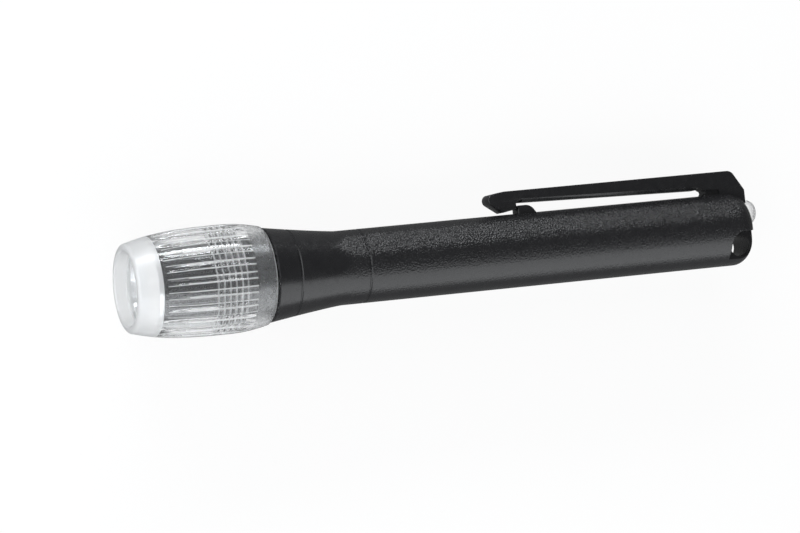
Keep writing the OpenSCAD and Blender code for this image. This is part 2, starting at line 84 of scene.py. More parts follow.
# Barrel
BARREL_R = 7.5
SHOULDER_R = 9.5
SHOULDER_Z = 29.0
EDGE = 0.3
FLARE_LEN = 15.2
FLARE_POWER = 1.15
FLARE_END_Z = SHOULDER_Z + EDGE + FLARE_LEN
TAIL_ROUND = 3.2
BUTTON_OUT = 2.8
TAIL_Z = PEN_LEN - BUTTON_OUT
MOULD_LINES = (34.0, 49.1)
MOULD_LINE_DEPTH = 0.18
MOULD_LINE_W = 0.36
GRAIN_Z = 42.0
GRAIN_FULL_Z = 46.0
GRAIN_Y = -3.0
GRAIN_FULL_Y = 0.5

# Rings of points along the barrel: close together at the tail and on the flare
TAIL_RING_STEP = 1.0
TAIL_RINGS = 7
PLAIN_RING_Z = 118.0
PLAIN_RING_STEP = 6.0
PLAIN_RINGS = 12
FLARE_RING_STEP = 0.7
FLARE_RINGS = 22

# Neck under the bezel
NECK_Z = 5.7
NECK_R = 7.95
THREAD_Z = 16.6
THREAD_LEN = 5.6
THREAD_PITCH = 1.25
SEAT_Z = THREAD_Z + THREAD_LEN
SEAT_R = 8.5
GROOVE_Z = SEAT_Z + 0.9
GROOVE_END_Z = GROOVE_Z + 1.44
GROOVE_R = 7.46
HOLDER_BORE_R = 6.5
HOLDER_BORE_END_Z = 25.03
CELL_BORE_R = 6.05
GUIDE_BORE_R = 5.1
GUIDE_BORE_Z = TAIL_Z - 9.55
TAIL_WALL_Z = TAIL_Z - 6.6
KEY_SLOT_W = 2.2
KEY_SLOT_TOP = 7.0
KEY_SLOT_END_Z = 15.6

# Bezel
BEZEL_LEN = 28.6
BEZEL_R = 10.95
BORE_R = 8.75
REAR_R = 9.9
RIM_R = 8.75
LIP_R = 7.5
CREST_Z = 20.5
FRONT_POWER = 3
REAR_POWER = 2
RIM_ROUND = 0.9
LIP_DEPTH = 2.6
WINDOW_BACK_Z = 4.2
FLUTES = 24
FLUTE_DEPTH = 0.38
FLUTE_FRONT_Z = 5.0
FLUTE_REAR_Z = 24.2
FLUTE_RUN_OUT = 0.8
BORE_THREAD_Z = 15.9
BORE_THREAD_END_Z = 22.6
BORE_THREAD_H = 0.3
BORE_THREAD_CREST = 0.3
BORE_THREAD_STEP = 0.125
MILKY_END_Z = 5.4
GLINT_Z = 5.8
GLINT_FULL_Z = 10.0
STEPS_PER_FLUTE = 18
GROOVE_STEPS = 8
ON_BORE_R = BORE_R + 0.01
BEZEL_SHARP_ANGLE = math.radians(20)

# Reflector
FLANGE_Z = 4.25
FLANGE_T = 1.4
FLANGE_R = 7.75
MOUTH_R = 6.0
LAMP_HOLE_R = 1.8
FOCUS_LEN = 1.1
FOCUS_Z = FLANGE_Z + MOUTH_R ** 2 / (4 * FOCUS_LEN) - FOCUS_LEN
REFLECTOR_T = 0.8
COLLAR_R = 4.0
COLLAR_BORE_R = 2.54
COLLAR_Z = 12.08
COLLAR_END_Z = 12.63

# Clip and the fin that carries it
CLIP_TOP = 12.2
CLIP_W = 4.0
CLIP_ROOT_T = 3.5
CLIP_TIP_T = 2.45
HINGE_Z = TAIL_Z - 7.0
NOSE_Z = HINGE_Z - 49.9
HOOK_END_Z = NOSE_Z + 6.0
HOOK_Y = BARREL_R + 0.4
HOOK_RISE = 0.5
HOOK_TOE = 3.0
NOSE_R = 1.2
NOSE_DROP = 0.35
NOSE_RUN = 3.6
GAP_END_Z = HINGE_Z - CLIP_ROOT_T / 2 - 0.2
GAP_R = (CLIP_TOP - CLIP_ROOT_T - BARREL_R) / 2
FIN_FOOT = 6.5
FIN_TOE = 4.4
FIN_TOE_LEN = 3.0
FIN_PROUD = 0.45
FIN_BACK = 3.6 - FIN_PROUD
FIN_ROUND = 1.8
FIN_SLOPE = 40
FIN_HEEL = 8.0
ARM_CHAMFER = 0.7
ARM_CHAMFER_START = 1.4
ARM_CHAMFER_DROP = 0.42
BEND_LEN = 12.0
BEND_STEPS = 8
CLIP_EDGE = 0.22
PAST_CHAMFER_ANGLE = 62
RECESS_LEN = 3.6
RECESS_TOP = 8.5
RECESS_DEPTH = 0.4

# Bump that closes the gap behind the hook
BUMP_Z = HOOK_END_Z + 0.4
BUMP_LEN = 3.9
BUMP_H = 1.6
BUMP_W = 3.4
BUMP_EDGE = 0.2

# Lug with the lanyard hole, and the button's hole
LANYARD_Z = TAIL_Z - 2.9
LANYARD_OFF = 3.6
LANYARD_R = 2.3
POCKET_R = 2.9
LUG_T = 8.2
BUTTON_OFF = 3.2
BUTTON_R = 2.7
BUTTON_HOLE_R = 2.8
BUTTON_HOLE_Z = TAIL_Z - 4.6
STEM_HOLE_R = 1.7
BUTTON_FLAT_R = 1.0
BUTTON_Z = TAIL_Z - 2.95
BUTTON_DOME = BUTTON_OUT * 0.8
BUTTON_SOCKET_R = 1.27
BUTTON_SOCKET_DEPTH = 2.5
BUTTON_SHARP_ANGLE = math.radians(40)

# Springs
CELL_WIRE = 0.6
CELL_SPRING_TIP_R = 2.4
CELL_SPRING_BASE_R = 4.2
CELL_SPRING_TURNS = 3.5
RETURN_WIRE = 0.35
RETURN_SPRING_R = 2.2
RETURN_SPRING_TURNS = 3
WIRE_SIDES = 10
STEPS_PER_COIL = 32

# Round pieces and edges
CUT_EDGE = 0.15
CUT_ANGLE = 40
CUT_PAST = 1.0
RIM_MARGIN = 0.1
MERGE_DIST = 0.001 * MM
SLIVER = 0.0005 * MM
ROUND_STEPS = 160
SMALL_STEPS = 64
SHARP_ANGLE = math.radians(28)

# Light
LAMP_COLOUR = (0.96, 0.98, 1.0)
WORLD_LEVEL = 0.14


def at(along, clipward=0.0, upward=0.0):
    """Place on or near the pen, from millimetres along it, towards the clip and up."""
    return Vector((FRONT_X + along * MM, AXIS_Y + clipward * MM, AXIS_Z + upward * MM))


def around_pen(place):
    """Millimetres along the pen and from its axis, and the angle around it."""
    clipward, upward = place.y - AXIS_Y, place.z - AXIS_Z
    return (place.x - FRONT_X) / MM, math.hypot(clipward, upward) / MM, math.atan2(clipward, upward)


def arc(cx, cy, radius, start, end, steps):
    """Points of a round stretch in an outline, with angles in degrees."""
    angles = [math.radians(start + (end - start) * i / steps) for i in range(steps + 1)]
    return [(cx + radius * math.cos(a), cy + radius * math.sin(a)) for a in angles]


def mark_edges(bm, sharp_angle):
    """Smooth shading that stops at edges sharper than the angle."""
    for face in bm.faces:
        face.smooth = True
    for edge in bm.edges:
        edge.smooth = edge.calc_face_angle(0) < sharp_angle


def close_up(bm):
    """Merges the seam and the poles and turns the faces outwards."""
    bmesh.ops.remove_doubles(bm, verts=bm.verts, dist=MERGE_DIST)
    bmesh.ops.dissolve_degenerate(bm, edges=bm.edges, dist=SLIVER)
    bmesh.ops.recalc_face_normals(bm, faces=bm.faces)


def made(name, bm, material, sharp_angle=SHARP_ANGLE):
    """Object from a finished bmesh."""
    mark_edges(bm, sharp_angle)
    mesh = bpy.data.meshes.new(name)
    bm.to_mesh(mesh)
    bm.free()
    mesh.materials.append(material)
    piece = bpy.data.objects.new(name, mesh)
    bpy.context.scene.collection.objects.link(piece)
    return piece


def turned(outline, steps, clipward=0.0):
    """Bmesh of an outline of (along, radius) points turned about a line along the pen."""
    bm = bmesh.new()
    verts = [bm.verts.new(at(along, clipward + radius)) for along, radius in outline]
    edges = [bm.edges.new(pair) for pair in zip(verts, verts[1:])]
    bmesh.ops.spin(bm, geom=verts + edges, cent=at(0, clipward), axis=(1, 0, 0), angle=2 * math.pi,
                   steps=steps, use_merge=True)
    close_up(bm)
    return bm


def plate(outline, width, upward=0.0):
    """Bmesh of a side outline of (along, clipward) points, given a width across the pen."""
    bm = bmesh.new()
    side = bm.faces.new([bm.verts.new(at(z, y, upward - width / 2)) for z, y in outline])
    grown = bmesh.ops.extrude_face_region(bm, geom=[side])
    top = [item for item in grown["geom"] if isinstance(item, bmesh.types.BMVert)]
    bmesh.ops.translate(bm, verts=top, vec=(0, 0, width * MM))
    bmesh.ops.recalc_face_normals(bm, faces=bm.faces)
    return bm


def box(low, high):
    """Bmesh of a block between two corners in metres."""
    bm = bmesh.new()
    size = high - low
    place = Matrix.Translation((low + high) / 2) @ Matrix.Diagonal((*size, 1))
    bmesh.ops.create_cube(bm, size=1, matrix=place)
    return bm


def bevel(bm, edges, offset, segments):
    """Rounds or chamfers some edges by an offset in millimetres."""
    bmesh.ops.bevel(bm, geom=edges, offset=offset * MM, offset_type="OFFSET", segments=segments,
                    profile=0.5, affect="EDGES", material=-1, clamp_overlap=False)


def sharp_edges(bm, angle):
    """Edges whose two faces meet at more than an angle in degrees."""
    return [edge for edge in bm.edges if edge.calc_face_angle(0) > math.radians(angle)]


def carve(piece, cutters, softened):
    """Cuts bmesh solids out of a piece and takes the edge off where softened holds for both ends."""
    tools = [made("cutter", bm, piece.data.materials[0]) for bm in cutters]
    for tool in tools:
        cut = piece.modifiers.new("cut", "BOOLEAN")
        cut.operation = "DIFFERENCE"
        cut.solver = "EXACT"
        cut.object = tool
    graph = bpy.context.evaluated_depsgraph_get()
    mesh = bpy.data.meshes.new_from_object(piece.evaluated_get(graph))
    piece.modifiers.clear()
    bm = bmesh.new()
    bm.from_mesh(mesh)
    bmesh.ops.remove_doubles(bm, verts=bm.verts, dist=MERGE_DIST)
    cut_edges = [edge for edge in sharp_edges(bm, CUT_ANGLE)
                 if all(softened(vert.co) for vert in edge.verts)]
    bevel(bm, cut_edges, CUT_EDGE, 2)
    close_up(bm)
    mark_edges(bm, SHARP_ANGLE)
    bm.to_mesh(piece.data)
    bm.free()
    bpy.data.meshes.remove(mesh)
    for tool in tools:
        bpy.data.objects.remove(tool)
    return piece


# Materials


class Finish:
    """Node material with a Principled shader and the links that its pattern needs."""

    def __init__(self, name, **sockets):
        self.material = bpy.data.materials.new(name)
        self.material.use_nodes = True
        self.nodes = self.material.node_tree.nodes
        self.links = self.material.node_tree.links
        self.shader = self.nodes["Principled BSDF"]
        self.place = self.nodes.new("ShaderNodeTexCoord").outputs["Object"]
        for socket, value in sockets.items():
            self.shader.inputs[socket.replace("_", " ")].default_value = value

    def noise(self, per_mm, detail=3.0, roughness=0.5, stretch=(1, 1, 1)):
        """Noise with a number of cells to the millimetre."""
        mapping = self.nodes.new("ShaderNodeMapping")
        mapping.inputs["Scale"].default_value = stretch
        self.links.new(self.place, mapping.inputs["Vector"])
        texture = self.nodes.new("ShaderNodeTexNoise")
        texture.inputs["Scale"].default_value = per_mm / MM
        texture.inputs["Detail"].default_value = detail
        texture.inputs["Roughness"].default_value = roughness
        self.links.new(mapping.outputs["Vector"], texture.inputs["Vector"])
        return texture.outputs["Fac"]

    def cells(self, per_mm):
        """Distance to the nearest of scattered points, for a spark-eroded grain."""
        texture = self.nodes.new("ShaderNodeTexVoronoi")
        texture.inputs["Scale"].default_value = per_mm / MM
        self.links.new(self.place, texture.inputs["Vector"])
        return texture.outputs["Distance"]

    def place_on(self, axis):
        """Place on one axis of the scene."""
        split = self.nodes.new("ShaderNodeSeparateXYZ")
        self.links.new(self.place, split.inputs["Vector"])
        return split.outputs[axis]

    def along(self, start, end, low, high):
        """Value that goes from low to high between two stations along the pen."""
        return self.ranged(self.place_on("X"), at(start).x, at(end).x, low, high)

    def clipward(self, start, end, low, high):
        """Value that goes from low to high between two places on the way to the clip."""
        return self.ranged(self.place_on("Y"), at(0, start).y, at(0, end).y, low, high)

    def ranged(self, value, start, end, low, high):
        """Value mapped from one range to another, held at the ends."""
        mapped = self.nodes.new("ShaderNodeMapRange")
        numbers = {"From Min": start, "From Max": end, "To Min": low, "To Max": high}
        for socket, number in numbers.items():
            mapped.inputs[socket].default_value = number
        self.links.new(value, mapped.inputs["Value"])
        return mapped.outputs["Result"]

    def joined(self, operation, one, other):
        """Two values joined by a Math node."""
        node = self.nodes.new("ShaderNodeMath")
        node.operation = operation
        self.links.new(one, node.inputs[0])
        self.links.new(other, node.inputs[1])
        return node.outputs["Value"]

    def times(self, one, other):
        """Product of two values."""
        return self.joined("MULTIPLY", one, other)

    def larger(self, one, other):
        """The larger of two values."""
        return self.joined("MAXIMUM", one, other)

    def colours(self, value, dark, light):
        """Base colour between two colours."""
        mix = self.nodes.new("ShaderNodeMix")
        mix.data_type = "RGBA"
        mix.inputs["A"].default_value = (*dark, 1)
        mix.inputs["B"].default_value = (*light, 1)
        self.links.new(value, mix.inputs["Factor"])
        self.links.new(mix.outputs["Result"], self.shader.inputs["Base Color"])

    def roughen(self, value):
        """Roughness from a value."""
        self.links.new(value, self.shader.inputs["Roughness"])

    def bump(self, height, depth_mm, strength=1.0, amount=None):
        """Relief from a height value, with its amount steered by another."""
        node = self.nodes.new("ShaderNodeBump")
        node.inputs["Strength"].default_value = strength
        node.inputs["Distance"].default_value = depth_mm * MM
        self.links.new(height, node.inputs["Height"])
        if amount is not None:
            self.links.new(amount, node.inputs["Strength"])
        self.links.new(node.outputs["Normal"], self.shader.inputs["Normal"])


def grained_plastic():
    """Black barrel plastic, grained on the clip side and smoother on the far side and on the flare."""
    finish = Finish("grained_plastic", Specular_IOR_Level=0.5)
    finish.colours(finish.noise(0.5), (0.008, 0.008, 0.009), (0.014, 0.014, 0.015))
    finish.roughen(finish.ranged(finish.noise(0.9), 0.3, 0.7, 0.22, 0.3))
    behind_flare = finish.along(GRAIN_Z, GRAIN_FULL_Z, 0.1, 1.0)
    on_clip_side = finish.clipward(GRAIN_Y, GRAIN_FULL_Y, 0.25, 1.0)
    finish.bump(finish.cells(3.2), 0.11, amount=finish.times(behind_flare, on_clip_side))
    return finish.material


def clip_plastic():
    """The same plastic on the clip, moulded smoother."""
    finish = Finish("clip_plastic", Specular_IOR_Level=0.5)
    finish.colours(finish.noise(0.6), (0.008, 0.008, 0.009), (0.014, 0.014, 0.015))
    finish.roughen(finish.ranged(finish.noise(1.2), 0.3, 0.7, 0.2, 0.32))
    finish.bump(finish.noise(2.5), 0.03, strength=0.3)
    return finish.material


def thread_plastic():
    """Bare black plastic of the thread."""
    finish = Finish("thread_plastic", Specular_IOR_Level=0.6)
    finish.colours(finish.noise(0.8), (0.01, 0.01, 0.011), (0.02, 0.02, 0.021))
    finish.roughen(finish.ranged(finish.noise(1.5), 0.3, 0.7, 0.16, 0.3))
    finish.bump(finish.noise(1.6), 0.04, strength=0.2)
    return finish.material


def clear_plastic():
    """Clear polycarbonate, polished in front and frosted behind the flutes."""
    finish = Finish("clear_plastic", Base_Color=(0.96, 0.975, 0.985, 1), Transmission_Weight=0.96,
                    IOR=1.585)
    frost = finish.along(FLUTE_REAR_Z - 0.3, FLUTE_REAR_Z + 0.5, 0.09, 0.26)
    finish.roughen(finish.times(frost, finish.ranged(finish.noise(1.2), 0.2, 0.8, 0.9, 1.1)))
    finish.bump(finish.noise(0.7, detail=1.0), 0.02, strength=0.12)
    return finish.material


def milky_and_glint_plastic():
    """The bezel's front, where the plastic is thick and looks milky, and the painted highlights: thin
    white strips on the flute edges and thread crest that stand in for glints.
    """
    finish = Finish("milky_and_glint_plastic", Transmission_Weight=0.6, IOR=1.585)
    finish.colours(finish.noise(0.3), (0.95, 0.955, 0.96), (0.975, 0.98, 0.98))
    finish.roughen(finish.ranged(finish.noise(1.0), 0.3, 0.7, 0.3, 0.4))
    finish.bump(finish.noise(0.7, detail=1.0), 0.02, strength=0.12)
    return finish.material


def mirror_metal():
    """Vapour-coated reflector."""
    finish = Finish("mirror_metal", Metallic=1.0)
    finish.colours(finish.noise(0.4), (0.82, 0.83, 0.84), (0.9, 0.9, 0.9))
    finish.roughen(finish.ranged(finish.noise(0.8), 0.3, 0.7, 0.08, 0.2))
    finish.bump(finish.noise(0.5), 0.03, strength=0.1)
    return finish.material


def soft_button():
    """Milky silicone of the button."""
    finish = Finish("soft_button", Transmission_Weight=0.85, IOR=1.41)
    finish.colours(finish.noise(0.4), (0.96, 0.965, 0.965), (0.985, 0.985, 0.985))
    finish.roughen(finish.ranged(finish.noise(1.0), 0.3, 0.7, 0.35, 0.5))
    finish.bump(finish.noise(3.0), 0.02, strength=0.15)
    return finish.material


def seal_rubber():
    """Matt rubber."""
    finish = Finish("seal_rubber", Specular_IOR_Level=0.35)
    finish.colours(finish.noise(1.0), (0.012, 0.012, 0.012), (0.025, 0.025, 0.025))
    finish.roughen(finish.ranged(finish.noise(2.0), 0.3, 0.7, 0.5, 0.7))
    finish.bump(finish.noise(3.0), 0.02, strength=0.2)
    return finish.material


def moulded(name, dark, light, rough):
    """Plain moulded or lacquered inner piece."""
    finish = Finish(name)
    finish.colours(finish.noise(0.7), dark, light)
    finish.roughen(finish.ranged(finish.noise(1.4), 0.3, 0.7, rough - 0.06, rough + 0.06))
    finish.bump(finish.noise(2.0), 0.02, strength=0.2)
    return finish.material


def drawn_metal(name, dark, light, rough):
    """Sheet or wire with fine streaks along the pen."""
    finish = Finish(name, Metallic=1.0)
    streaks = finish.noise(1.5, stretch=(0.08, 1, 1))
    finish.colours(streaks, dark, light)
    finish.roughen(finish.ranged(streaks, 0.3, 0.7, rough - 0.08, rough + 0.08))
    finish.bump(streaks, 0.02, strength=0.15)
    return finish.material


# Barrel pieces


def flare_radius(along):
    """Outer radius of the barrel behind the shoulder."""
    share = min(max((along - SHOULDER_Z - EDGE) / FLARE_LEN, 0.0), 1.0)
    return BARREL_R + (SHOULDER_R - BARREL_R) * (1 - share) ** FLARE_POWER


def barrel_outline():
    """Closed outline of the barrel from the tail's centre to the bore's end."""
    tail = [(TAIL_Z, 0.0)] + [
        (TAIL_Z - TAIL_ROUND + z, BARREL_R - TAIL_ROUND + r)
        for z, r in arc(0, 0, TAIL_ROUND, 0, 90, 12)]
    stations = [TAIL_Z - TAIL_ROUND - TAIL_RING_STEP * ring for ring in range(1, TAIL_RINGS + 1)]
    stations += [PLAIN_RING_Z - PLAIN_RING_STEP * ring for ring in range(PLAIN_RINGS)]
    stations += [FLARE_END_Z - FLARE_RING_STEP * ring for ring in range(FLARE_RINGS)]
    for line in MOULD_LINES:
        stations += [line + MOULD_LINE_W, line + MOULD_LINE_W / 2, line, line - MOULD_LINE_W / 2]
    outside = []
    for along in sorted(set(stations), reverse=True):
        in_line = any(0 <= along - line <= MOULD_LINE_W / 2 for line in MOULD_LINES)
        outside.append((along, flare_radius(along) - (MOULD_LINE_DEPTH if in_line else 0)))
    neck = [(SHOULDER_Z + EDGE, SHOULDER_R), (SHOULDER_Z, SHOULDER_R - EDGE), (SHOULDER_Z, SEAT_R),
            (GROOVE_END_Z, SEAT_R), (GROOVE_END_Z, GROOVE_R), (GROOVE_Z, GROOVE_R), (GROOVE_Z, SEAT_R),
            (SEAT_Z + EDGE, SEAT_R), (SEAT_Z, NECK_R), (NECK_Z + EDGE, NECK_R), (NECK_Z, NECK_R - EDGE)]
    bore = [(NECK_Z, HOLDER_BORE_R), (HOLDER_BORE_END_Z, HOLDER_BORE_R), (HOLDER_BORE_END_Z, CELL_BORE_R),
            (GUIDE_BORE_Z, CELL_BORE_R), (GUIDE_BORE_Z, GUIDE_BORE_R), (TAIL_WALL_Z, GUIDE_BORE_R),
            (TAIL_WALL_Z, 0.0)]
    return tail + outside + neck + bore


def cross_hole(radius, along, clipward, low, high):
    """Bmesh of a round bar across the pen between two heights above the axis."""
    bm = bmesh.new()
    place = Matrix.Translation(at(along, clipward, (low + high) / 2))
    bmesh.ops.create_cone(bm, cap_ends=True, segments=SMALL_STEPS, radius1=radius * MM,
                          radius2=radius * MM, depth=(high - low) * MM, matrix=place)
    return bm


def button_hole():
    """Bmesh of the hole that the button slides in."""
    end = TAIL_Z + CUT_PAST
    outline = [(BUTTON_HOLE_Z, 0.0), (BUTTON_HOLE_Z, BUTTON_HOLE_R), (end, BUTTON_HOLE_R), (end, 0.0)]
    return turned(outline, SMALL_STEPS, BUTTON_OFF)


def lug_pocket(side):
    """Arched pocket on one side of the lug, open towards the tail and away from the clip."""
    floor = side * LUG_T / 2
    outer = side * BARREL_R * 1.2
    arch = arc(LANYARD_Z, -LANYARD_OFF, POCKET_R, 90, 180, 16)
    below = -BARREL_R - CUT_PAST
    outline = arch + [(LANYARD_Z - POCKET_R, below), (TAIL_Z + CUT_PAST, below),
                      (TAIL_Z + CUT_PAST, POCKET_R - LANYARD_OFF)]
    return plate(outline, abs(outer - floor), (outer + floor) / 2)


def on_pocket_rim(place):
    """Tells the outer edge of the lug's pockets."""
    outside_lug = abs(place.z - AXIS_Z) > (LUG_T / 2 + RIM_MARGIN) * MM
    behind_arch = place.x > at(LANYARD_Z - POCKET_R - RIM_MARGIN).x
    return outside_lug and behind_arch and place.y < at(0, POCKET_R - LANYARD_OFF + RIM_MARGIN).y


def barrel_shell(material):
    """Barrel with its neck, flare, tail edge, lug and holes."""
    shell = made("barrel_shell", turned(barrel_outline(), ROUND_STEPS), material)
    stem_start, stem_end = TAIL_WALL_Z - CUT_PAST, BUTTON_HOLE_Z + CUT_PAST
    stem_hole = turned([(stem_start, 0.0), (stem_start, STEM_HOLE_R), (stem_end, STEM_HOLE_R),
                        (stem_end, 0.0)], SMALL_STEPS, BUTTON_OFF)
    key_slot = box(at(NECK_Z - CUT_PAST, 0, -KEY_SLOT_W / 2),
                   at(KEY_SLOT_END_Z, KEY_SLOT_TOP, KEY_SLOT_W / 2))
    reach = BARREL_R + CUT_PAST
    lanyard_hole = cross_hole(LANYARD_R, LANYARD_Z, -LANYARD_OFF, -reach, reach)
    carve(shell, [button_hole(), stem_hole, key_slot, lug_pocket(1), lug_pocket(-1), lanyard_hole],
          on_pocket_rim)
    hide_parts("barrel")
    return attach(shell, "barrel")


def neck_thread(material):
    """Helical ridge on the neck."""
    ridge_half = THREAD_PITCH * 0.42
    crest_half = THREAD_PITCH * 0.09
    sunk = 0.15
    section = [(-ridge_half, NECK_R - sunk), (-crest_half, SEAT_R), (crest_half, SEAT_R),
               (ridge_half, NECK_R - sunk)]
    first = THREAD_Z + ridge_half
    turns = (THREAD_LEN - 2 * ridge_half) / THREAD_PITCH
    steps_per_turn = 96
    steps = int(turns * steps_per_turn)
    bm = bmesh.new()
    end = bm.faces.new([bm.verts.new(at(first + z, r)) for z, r in section])
    bmesh.ops.spin(bm, geom=[end, *end.verts, *end.edges], cent=at(0), axis=(1, 0, 0),
                   dvec=(turns * THREAD_PITCH * MM / steps, 0, 0), angle=2 * math.pi * turns, steps=steps)
    close_up(bm)
    thread = made("neck_thread", bm, material)
    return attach(thread, "barrel")


def retention_bump(material):
    """Bump on the barrel behind the hook."""
    top = BARREL_R + BUMP_H
    back = BUMP_Z + BUMP_LEN
    ramp = BUMP_H * 1.4
    foot = BARREL_R - 0.8
    outline = [(BUMP_Z, foot), (BUMP_Z, top)]
    outline += arc(back - ramp, top - ramp, ramp, 90, 30, 8)
    outline += [(back + 0.6, foot)]
    bm = plate(outline, BUMP_W)
    bevel(bm, sharp_edges(bm, CUT_ANGLE), BUMP_EDGE, 3)
    bump = made("retention_bump", bm, material)
    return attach(bump, "barrel")


def clip_outline():
    """Side outline of the clip and its fin, with extra points where the arm bends."""
    bend = [GAP_END_Z - BEND_LEN * (step + 1) / BEND_STEPS for step in range(BEND_STEPS)]
    tip_y = CLIP_TOP - CLIP_TIP_T
    root_y = CLIP_TOP - CLIP_ROOT_T
    slope = (root_y - tip_y) / (HINGE_Z - HOOK_END_Z)
    nose = arc(NOSE_Z + NOSE_R, CLIP_TOP - NOSE_R - NOSE_DROP, NOSE_R, 230, 110, 10)
    top = [(NOSE_Z + NOSE_RUN, CLIP_TOP)] + [(z, CLIP_TOP) for z in reversed(bend)]
    fin = arc(TAIL_Z - FIN_BACK, CLIP_TOP - FIN_ROUND, FIN_ROUND, 90, FIN_SLOPE, 8)
    fin += [(TAIL_Z + FIN_PROUD, FIN_HEEL), (TAIL_Z + FIN_PROUD, FIN_TOE),
            (TAIL_Z - FIN_TOE_LEN, FIN_TOE), (TAIL_Z - FIN_TOE_LEN, FIN_FOOT), (GAP_END_Z, FIN_FOOT)]
    gap = arc(GAP_END_Z, BARREL_R + GAP_R, GAP_R, -90, 90, 12)
    under = [(z, tip_y + slope * (z - HOOK_END_Z))
             for z in [*bend, HOOK_END_Z + ARM_CHAMFER_START]]
    hook = [(HOOK_END_Z, tip_y), (HOOK_END_Z, HOOK_Y + HOOK_RISE), (NOSE_Z + HOOK_TOE, HOOK_Y)]
    return nose + top + fin + gap + under + hook


def on_recess_rim(place):
    """Tells the outer edge of the fin's recesses."""
    along = around_pen(place)[0]
    on_face = abs(place.z - AXIS_Z) > (CLIP_W / 2 - RIM_MARGIN / 2) * MM
    in_length = GAP_END_Z + RIM_MARGIN < along < GAP_END_Z + RECESS_LEN + RIM_MARGIN
    return on_face and in_length and at(0, BARREL_R).y < place.y < at(0, RECESS_TOP + RIM_MARGIN).y


def under_arm(place):
    """Tells the underside of the arm between the hook and the end of the gap."""
    clear = 1.0
    in_length = at(HOOK_END_Z + ARM_CHAMFER).x <= place.x <= at(GAP_END_Z - clear).x
    return in_length and at(0, HOOK_Y + HOOK_RISE).y < place.y < at(0, CLIP_TOP - clear).y


def pocket_clip(material):
    """Clip and fin in one piece."""
    bm = plate(clip_outline(), CLIP_W)
    lengthwise = [edge for edge in sharp_edges(bm, CUT_ANGLE)
                  if abs(edge.verts[0].co.z - edge.verts[1].co.z) < MERGE_DIST]
    under = [edge for edge in lengthwise if all(under_arm(vert.co) for vert in edge.verts)]
    bevel(bm, under, ARM_CHAMFER, 1)
    for vert in bm.verts:
        height = vert.co.z - AXIS_Z
        if abs(height) < (CLIP_W / 2 - ARM_CHAMFER / 2) * MM:
            vert.co.z = AXIS_Z + math.copysign((CLIP_W / 2 - ARM_CHAMFER_DROP) * MM, height)
    bevel(bm, sharp_edges(bm, PAST_CHAMFER_ANGLE), CLIP_EDGE, 3)
    clip = made("pocket_clip_arm", bm, material)
    recesses = [box(at(GAP_END_Z, BARREL_R, face - RECESS_DEPTH),
                    at(GAP_END_Z + RECESS_LEN, RECESS_TOP, face + RECESS_DEPTH))
                for face in (-CLIP_W / 2, CLIP_W / 2)]
    carve(clip, [button_hole(), *recesses], on_recess_rim)
    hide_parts("pocket_clip")
    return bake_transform(clip)


# Bezel and lamp


def bezel_radius(along):
    """Outer radius of the bezel."""
    if along < CREST_Z:
        return BEZEL_R - (BEZEL_R - RIM_R) * ((CREST_Z - along) / CREST_Z) ** FRONT_POWER
    return BEZEL_R - (BEZEL_R - REAR_R) * ((along - CREST_Z) / (BEZEL_LEN - CREST_Z)) ** REAR_POWER


def flute_depth(along):
    """Depth of a flute, which runs in from the front and ends in a round run-out."""
    if not FLUTE_FRONT_Z < along < FLUTE_REAR_Z:
        return 0.0
    front = bezel_radius(FLUTE_FRONT_Z)
    rise = (BEZEL_R - FLUTE_DEPTH - front) / (CREST_Z - FLUTE_FRONT_Z)
    depth = bezel_radius(along) - front - rise * (along - FLUTE_FRONT_Z)
    left = min((FLUTE_REAR_Z - along) / FLUTE_RUN_OUT, 1.0)
    return max(depth, 0.0) * math.sqrt(1 - (1 - left) ** 2)


def bezel_outline():
    """Closed outline of the bezel with its window, from axis to axis."""
    inner_round = 0.25
    lip = [(LIP_DEPTH, 0.0), (LIP_DEPTH, LIP_R - inner_round)]
    lip += [(LIP_DEPTH - inner_round, LIP_R), (EDGE, LIP_R), (0.0, LIP_R + EDGE)]
    rim = [(RIM_ROUND + z, bezel_radius(RIM_ROUND) - RIM_ROUND + r)
           for z, r in arc(0, 0, RIM_ROUND, 180, 105, 8)]
    full_end = FLUTE_REAR_Z - FLUTE_RUN_OUT
    stations = [RIM_ROUND + (FLUTE_FRONT_Z - RIM_ROUND) * i / 6 for i in range(7)]
    stations += [FLUTE_FRONT_Z + (full_end - FLUTE_FRONT_Z) * i / 22 for i in range(1, 23)]
    stations += [FLUTE_REAR_Z - FLUTE_RUN_OUT * (1 - i / 6) for i in range(1, 7)]
    stations += [FLUTE_REAR_Z + (BEZEL_LEN - EDGE - FLUTE_REAR_Z) * i / 6 for i in range(1, 7)]
    outside = [(along, bezel_radius(along)) for along in stations]
    rear = [(BEZEL_LEN, REAR_R - EDGE), (BEZEL_LEN, BORE_R + EDGE / 2), (BEZEL_LEN - EDGE / 2, BORE_R)]
    thread_steps = round((BORE_THREAD_END_Z - BORE_THREAD_Z) / BORE_THREAD_STEP)
    bore = [(BORE_THREAD_END_Z - BORE_THREAD_STEP * step, BORE_R) for step in range(thread_steps + 1)]
    window = [(WINDOW_BACK_Z + inner_round, BORE_R), (WINDOW_BACK_Z, BORE_R - inner_round),
              (WINDOW_BACK_Z, 0.0)]
    return lip + rim + outside + rear + bore + window


def flute_share(angle):
    """Place across the nearest flute: 0 in its middle and 1 on its edges."""
    pitch = 2 * math.pi / FLUTES
    half = pitch * GROOVE_STEPS / STEPS_PER_FLUTE / 2
    return abs(angle / pitch - round(angle / pitch)) * pitch / half


def thread_share(along, angle):
    """Depth of the bore's thread: 0 on its crest and 1 in its root."""
    turns = along / THREAD_PITCH + angle / (2 * math.pi)
    return 1 - abs(2 * (turns - math.floor(turns)) - 1)


